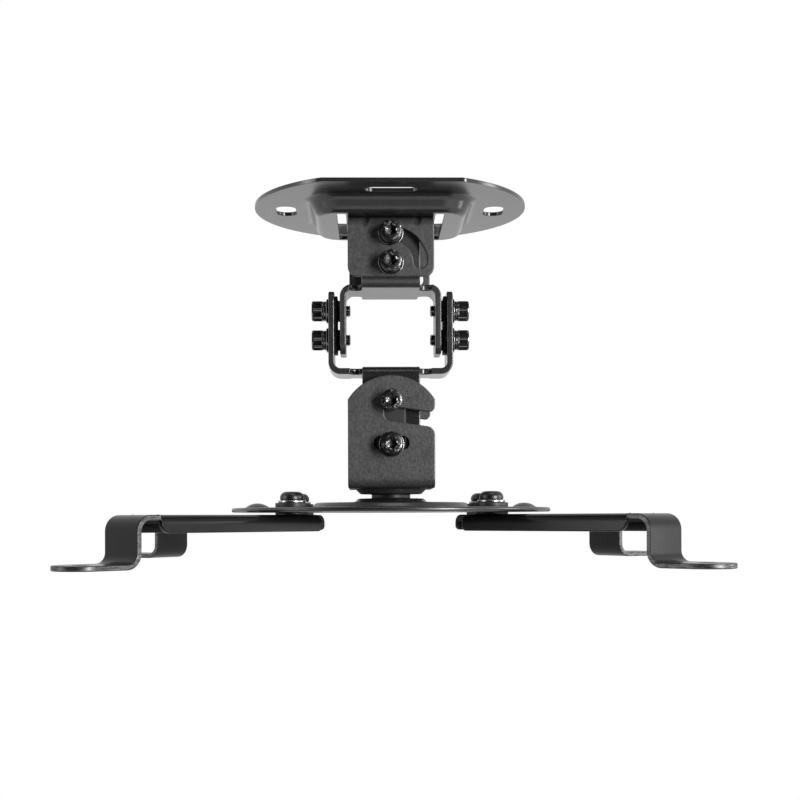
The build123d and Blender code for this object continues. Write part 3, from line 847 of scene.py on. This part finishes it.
# %% Cap screws and the swivel bolt
cap = {"height": 5.0 * mm, "shank": 2.5 * mm, "across": 4.0 * mm, "depth": 2.6 * mm,
       "pitch": 0.8 * mm, "knurled": 1}
bolt = {"height": 3.5 * mm, "shank": 4.0 * mm, "across": 5.0 * mm, "depth": 1.4 * mm,
        "pitch": 1.25 * mm, "knurled": 0}
joint_axes = {"tilt": 1, "pitch": 0, "roll": 1}
cap_spin = (17, 41)
socket_screws = {joint + "_screws": (axis, cap) for joint, axis in joint_axes.items()}
socket_screws["swivel_bolt"] = (2, bolt)
for node, (axis, sizes) in socket_screws.items():
    screws = bmesh.new()
    for turn_by, (place, length, radius) in enumerate(seats(node, axis)):
        rows = socket_screw_rows(length, radius, **sizes)
        turned(screws, rows, spun(place, cap_spin, turn_by))
    finish_piece(screws, node + "_turned", node)

# %% [markdown]
# ## Washers
#
# Under each head sits a split spring washer, a square wire bent into a ring, and under most of
# those a flat washer. Stamped washers have rounded edges, and those thin bright rims are what shows
# of them. A ring with a rounded square section gives them, and for the spring washer the ring stops
# short of a full turn.

# %% A washer's section and the split ring
rim_round = 0.25 * mm
split_gap = math.radians(9)


def rounded_section(inner, outer, thick, corner):
    """Corner points of a washer's section, radius and height, going round once."""
    points = []
    for radius, height, start in ((outer - corner, corner, -90), (outer - corner, thick - corner, 0),
                                  (inner + corner, thick - corner, 90), (inner + corner, corner, 180)):
        for step in range(4):
            angle = math.radians(start + 30 * step)
            points.append((radius + corner * math.cos(angle), height + corner * math.sin(angle)))
    return points


def split_ring(piece, section, place):
    """Sweeps a section round, short of a full turn, and closes both ends."""
    ribs = []
    for step in range(segments + 1):
        angle = split_gap / 2 + (2 * math.pi - split_gap) * step / segments
        rib = [Vector((r * math.cos(angle), r * math.sin(angle), z)) for r, z in section]
        ribs.append([piece.verts.new(place @ point) for point in rib])
    count = len(section)
    for here, there in zip(ribs, ribs[1:]):
        for step in range(count):
            after = (step + 1) % count
            piece.faces.new((here[step], here[after], there[after], there[step]))
    piece.faces.new(ribs[0])
    piece.faces.new(ribs[-1][::-1])


print("spring washers are split by", round(math.degrees(split_gap)), "degrees")

# %% Spring washers
m5_bore = 2.65 * mm
spring_spin = (200, 75)
for joint, axis in joint_axes.items():
    node = joint + "_spring_washers"
    springs = bmesh.new()
    for turn_by, (place, thick, radius) in enumerate(seats(node, axis)):
        section = rounded_section(m5_bore, radius, thick, rim_round)
        split_ring(springs, section, spun(place, spring_spin, turn_by))
    finish_piece(springs, node + "_split", node)

# %% [markdown]
# The flat washers and the friction washers are full rings of the same section. A bevelled cylinder
# with a hole would do, but the lathe already takes rows of radius and height, and the section's
# points are such rows.

# %% Flat washers
m8_bore = 4.15 * mm
flat_washers = {joint + "_flat_washers": (axis, m5_bore) for joint, axis in joint_axes.items()}
flat_washers.update({corner + kind: (2, m5_bore) for corner in arm_corners
                     for kind in ("_washer", "_friction_washer", "_lower_washer")})
flat_washers.update({"swivel_washer": (2, m8_bore), "swivel_nut_washer": (2, m8_bore)})
for node, (axis, bore) in flat_washers.items():
    flats = bmesh.new()
    for place, thick, radius in seats(node, axis):
        turned(flats, rounded_section(bore, radius, thick, rim_round), place, hollow=True)
    finish_piece(flats, node + "_round", node)

# %% [markdown]
# ## Arm screws
#
# Each arm hangs on a pan-head screw: a low dome with a cross for the driver, drawn in at its foot.
# A half sphere would look like a rivet, so the dome's edge is a quarter circle round a flat top,
# and the cross is sunk into it.

# %% Pan-head screws
pan_height = 3.5 * mm
pan_round = 2.6 * mm
pan_shank = 2.5 * mm
pan_pitch = 0.8 * mm
cross_half_length = 2.1 * mm
cross_half_width = 0.65 * mm
cross_depth = 1.5 * mm
cross_taper = 0.8
dome_steps = 8
pan_spin = (25, 33)


def pan_screw_rows(length, head):
    """Rows of a pan-head screw from its tip to the bottom of its cross."""
    seat = length - pan_height
    rows = [(pan_shank - tip_cut, 0)]
    rows += thread_rows(pan_shank, pan_pitch, tip_rise, seat - 0.4 * mm)
    rows += [(pan_shank, seat), (head - 0.5 * mm, seat), (head - 0.1 * mm, seat + 0.25 * mm)]
    for step in range(dome_steps + 1):
        angle = math.pi / 2 * step / dome_steps
        reach, rise = pan_round * math.cos(angle), pan_round * math.sin(angle)
        rows.append((head - pan_round + reach, length - pan_round + rise))
    mouth = cross(cross_half_length, cross_half_width)
    bottom = cross(cross_taper * cross_half_length, cross_taper * cross_half_width)
    rows += [(mouth, length), (bottom, length - cross_depth)]
    rows += [(0.3 * mm, length - cross_depth - 0.2 * mm)]
    return rows


for turn_by, corner in enumerate(arm_corners):
    screws = bmesh.new()
    for place, length, radius in seats(corner + "_screw", 2, upward=True):
        turned(screws, pan_screw_rows(length, radius), spun(place, pan_spin, turn_by))
    finish_piece(screws, corner + "_screw_turned", corner + "_screw")

# %% [markdown]
# ## Nuts
#
# A nut is a hexagon whose corners are cut by a cone, with a countersunk bore. The arms' nuts also
# have a flange that bears on the sheet, so that they need no washer inside the narrow channel.

# %% Nuts
corner_cut = 1.05
nut_chamfer = 0.5 * mm


def nut_rows(height, across, bore, flange=None, flange_height=0.0):
    """Rows of a nut: up its outside and down its bore."""
    top = height - flange_height
    rows = [(hexagon(across, corner_cut), 0), (hexagon(across), nut_chamfer)]
    if flange:
        rows += [(hexagon(across), top - nut_chamfer), (flange - 0.2 * mm, top)]
        rows += [(flange, top + 0.2 * mm), (flange, height - 0.1 * mm), (flange - 0.1 * mm, height)]
    else:
        rows += [(hexagon(across), height - nut_chamfer), (hexagon(across, corner_cut), height)]
    rows += [(bore + nut_chamfer, height), (bore, height - nut_chamfer)]
    rows += [(bore, nut_chamfer), (bore + nut_chamfer, 0)]
    return rows


arm_nut = {"across": 8.0 * mm, "bore": 2.52 * mm, "flange": 5.6 * mm, "flange_height": 0.8 * mm}
nuts = {corner + "_nut": arm_nut for corner in arm_corners}
nuts["swivel_nut"] = {"across": 13.0 * mm, "bore": 4.02 * mm}
for node, sizes in nuts.items():
    piece = bmesh.new()
    for place, height, _ in seats(node, 2, upward=True):
        turned(piece, nut_rows(height, **sizes), place, hollow=True)
    finish_piece(piece, node + "_cut", node)

# %% [markdown]
# ## The sizes
#
# The dressed mount must be as large as the solids. Both boxes are printed.

# %% Print both boxes
new_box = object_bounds()
boxes = {"cad": cad_box, "visual": new_box}
for name, (low, high) in boxes.items():
    print(name, "box", [round(v, 4) for v in high - low])
